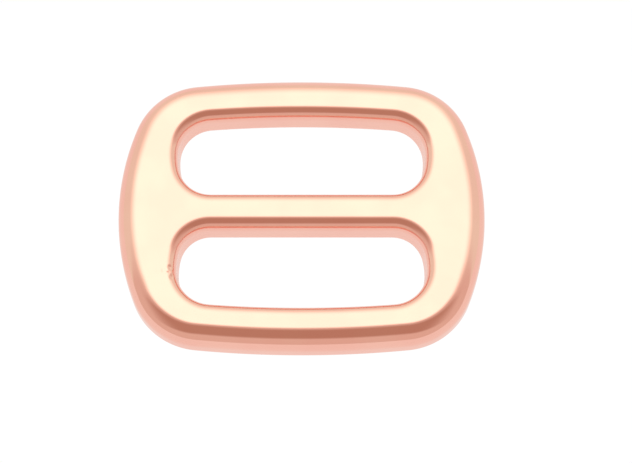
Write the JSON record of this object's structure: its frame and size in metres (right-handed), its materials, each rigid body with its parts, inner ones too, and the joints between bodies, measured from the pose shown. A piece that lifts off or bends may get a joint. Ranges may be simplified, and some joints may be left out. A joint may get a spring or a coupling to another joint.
{
  "type": "strap slider",
  "caption": "Fixed-bar strap slider with rounded corners that adjusts the length of a webbing strap threaded through its slots; rose-gold plated casting.",
  "frame": {"origin": "middle of the flat back face, under the middle of the centre bar", "axes": "+X along the slots, across the strap; +Y the way the strap travels; +Z out of the front face"},
  "size_m": [0.0376, 0.029, 0.0046],
  "materials": {
    "rose_gold_plate": "zinc casting, polished and plated in mirror-bright rose gold"
  },
  "bodies": {
    "root": {"slider_frame": "rose_gold_plate"}
  },
  "joints": []
}
